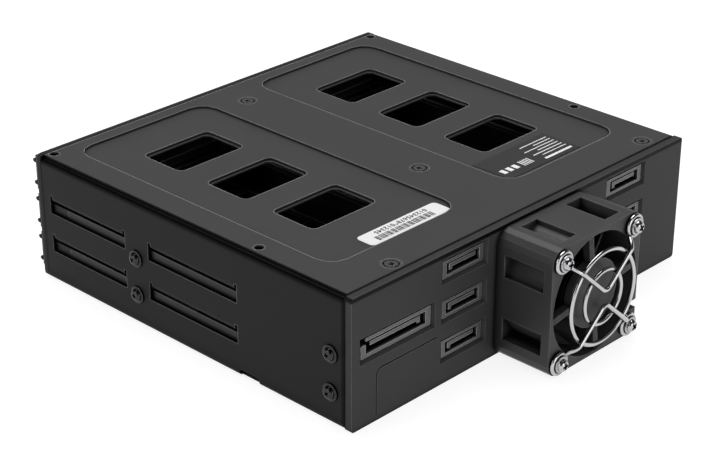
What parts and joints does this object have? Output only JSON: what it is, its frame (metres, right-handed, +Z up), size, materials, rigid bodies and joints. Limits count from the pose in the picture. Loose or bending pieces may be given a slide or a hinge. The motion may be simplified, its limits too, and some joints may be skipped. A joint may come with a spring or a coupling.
{
  "type": "hot swap drive cage",
  "caption": "Half-height bay cage that holds slim drive trays in two columns, with ejector levers, a rear fan behind a wire guard, and data and power sockets.",
  "frame": {"origin": "middle of the case's flat underside", "axes": "+Z up; trays open towards -Y; sockets and fan at +Y; +X on the right seen from the trays"},
  "size_m": [0.1494, 0.1589, 0.041],
  "materials": {
    "case_steel": "fine satin powder coat",
    "cover_steel": "fine satin powder coat",
    "frame_steel": "fine satin powder coat",
    "divider_steel": "satin coat",
    "liner_film": "matte film",
    "cover_screw_steel": "black zinc, satin",
    "side_screw_steel": "black zinc, satin",
    "board_screw_steel": "zinc",
    "fan_screw_steel": "bright nickel plate",
    "guard_wire": "bright nickel plate",
    "pin_steel": "plain steel",
    "white_paper": "printed paper",
    "black_film": "printed film, semi-gloss",
    "rear_moulding": "fine grain moulding",
    "circuit_board": "dark solder mask",
    "socket_moulding": "plain moulding",
    "fan_moulding": "fine grain moulding",
    "rotor_moulding": "plain moulding",
    "stator_windings": "enamelled copper",
    "tray_moulding": "plain moulding",
    "bezel_moulding": "fine grain moulding",
    "lever_moulding": "fine grain moulding",
    "button_moulding": "smooth moulding",
    "clear_plastic": "clear, polished ends"
  },
  "bodies": {
    "cage": {"chassis_shell": "case_steel", "top_cover": "cover_steel", "cover_liner": "liner_film", "cover_screws": "cover_screw_steel", "side_screws": "side_screw_steel", "white_label": "white_paper", "black_label": "black_film", "front_frame": "frame_steel", "centre_divider": "divider_steel", "rear_panel": "rear_moulding", "backplane_board": "circuit_board", "board_screws": "board_screw_steel", "drive_sockets": "socket_moulding", "data_ports": "socket_moulding", "power_port": "socket_moulding", "fan_frame": "fan_moulding", "fan_stator": "stator_windings", "fan_guard": "guard_wire", "fan_screws": "fan_screw_steel"},
    "fan_rotor": {"fan_rotor": "rotor_moulding"},
    "carrier_1": {"tray_1": "tray_moulding", "bezel_1": "bezel_moulding", "lever_pin_1": "pin_steel", "light_pipe_1": "clear_plastic"},
    "lever_1": {"lever_1": "lever_moulding"},
    "release_button_1": {"release_button_1": "button_moulding"},
    "carrier_2": {"tray_2": "tray_moulding", "bezel_2": "bezel_moulding", "lever_pin_2": "pin_steel", "light_pipe_2": "clear_plastic"},
    "lever_2": {"lever_2": "lever_moulding"},
    "release_button_2": {"release_button_2": "button_moulding"},
    "carrier_3": {"tray_3": "tray_moulding", "bezel_3": "bezel_moulding", "lever_pin_3": "pin_steel", "light_pipe_3": "clear_plastic"},
    "lever_3": {"lever_3": "lever_moulding"},
    "release_button_3": {"release_button_3": "button_moulding"},
    "carrier_4": {"tray_4": "tray_moulding", "bezel_4": "bezel_moulding", "lever_pin_4": "pin_steel", "light_pipe_4": "clear_plastic"},
    "lever_4": {"lever_4": "lever_moulding"},
    "release_button_4": {"release_button_4": "button_moulding"},
    "carrier_5": {"tray_5": "tray_moulding", "bezel_5": "bezel_moulding", "lever_pin_5": "pin_steel", "light_pipe_5": "clear_plastic"},
    "lever_5": {"lever_5": "lever_moulding"},
    "release_button_5": {"release_button_5": "button_moulding"},
    "carrier_6": {"tray_6": "tray_moulding", "bezel_6": "bezel_moulding", "lever_pin_6": "pin_steel", "light_pipe_6": "clear_plastic"},
    "lever_6": {"lever_6": "lever_moulding"},
    "release_button_6": {"release_button_6": "button_moulding"}
  },
  "joints": [
    {"name": "fan_spin", "type": "hinge", "parent": "cage", "child": "fan_rotor", "pos_m": [-0.0055, 0.07725, 0.02], "axis": [0, 1, 0], "continuous": true},
    {"name": "tray_1_slide", "type": "slide", "parent": "cage", "child": "carrier_1", "axis": [0, -1, 0], "range_m": [0, 0.112]},
    {"name": "lever_1_hinge", "type": "hinge", "parent": "carrier_1", "child": "lever_1", "pos_m": [-0.0039, -0.06405, 0.03375], "axis": [0, 0, 1], "range_deg": [0, 60]},
    {"name": "release_1_push", "type": "slide", "parent": "carrier_1", "child": "release_button_1", "axis": [0, 1, 0], "range_m": [0, 0.0015], "stiffness_N_per_m": 200, "springref_m": -0.001},
    {"name": "tray_2_slide", "type": "slide", "parent": "cage", "child": "carrier_2", "axis": [0, -1, 0], "range_m": [0, 0.112]},
    {"name": "lever_2_hinge", "type": "hinge", "parent": "carrier_2", "child": "lever_2", "pos_m": [-0.0039, -0.06405, 0.0209], "axis": [0, 0, 1], "range_deg": [0, 60]},
    {"name": "release_2_push", "type": "slide", "parent": "carrier_2", "child": "release_button_2", "axis": [0, 1, 0], "range_m": [0, 0.0015], "stiffness_N_per_m": 200, "springref_m": -0.001},
    {"name": "tray_3_slide", "type": "slide", "parent": "cage", "child": "carrier_3", "axis": [0, -1, 0], "range_m": [0, 0.112]},
    {"name": "lever_3_hinge", "type": "hinge", "parent": "carrier_3", "child": "lever_3", "pos_m": [-0.0039, -0.06405, 0.00805], "axis": [0, 0, 1], "range_deg": [0, 60]},
    {"name": "release_3_push", "type": "slide", "parent": "carrier_3", "child": "release_button_3", "axis": [0, 1, 0], "range_m": [0, 0.0015], "stiffness_N_per_m": 200, "springref_m": -0.001},
    {"name": "tray_4_slide", "type": "slide", "parent": "cage", "child": "carrier_4", "axis": [0, -1, 0], "range_m": [0, 0.112]},
    {"name": "lever_4_hinge", "type": "hinge", "parent": "carrier_4", "child": "lever_4", "pos_m": [0.0687, -0.06405, 0.03375], "axis": [0, 0, 1], "range_deg": [0, 60]},
    {"name": "release_4_push", "type": "slide", "parent": "carrier_4", "child": "release_button_4", "axis": [0, 1, 0], "range_m": [0, 0.0015], "stiffness_N_per_m": 200, "springref_m": -0.001},
    {"name": "tray_5_slide", "type": "slide", "parent": "cage", "child": "carrier_5", "axis": [0, -1, 0], "range_m": [0, 0.112]},
    {"name": "lever_5_hinge", "type": "hinge", "parent": "carrier_5", "child": "lever_5", "pos_m": [0.0687, -0.06405, 0.0209], "axis": [0, 0, 1], "range_deg": [0, 60]},
    {"name": "release_5_push", "type": "slide", "parent": "carrier_5", "child": "release_button_5", "axis": [0, 1, 0], "range_m": [0, 0.0015], "stiffness_N_per_m": 200, "springref_m": -0.001},
    {"name": "tray_6_slide", "type": "slide", "parent": "cage", "child": "carrier_6", "axis": [0, -1, 0], "range_m": [0, 0.112]},
    {"name": "lever_6_hinge", "type": "hinge", "parent": "carrier_6", "child": "lever_6", "pos_m": [0.0687, -0.06405, 0.00805], "axis": [0, 0, 1], "range_deg": [0, 60]},
    {"name": "release_6_push", "type": "slide", "parent": "carrier_6", "child": "release_button_6", "axis": [0, 1, 0], "range_m": [0, 0.0015], "stiffness_N_per_m": 200, "springref_m": -0.001}
  ]
}
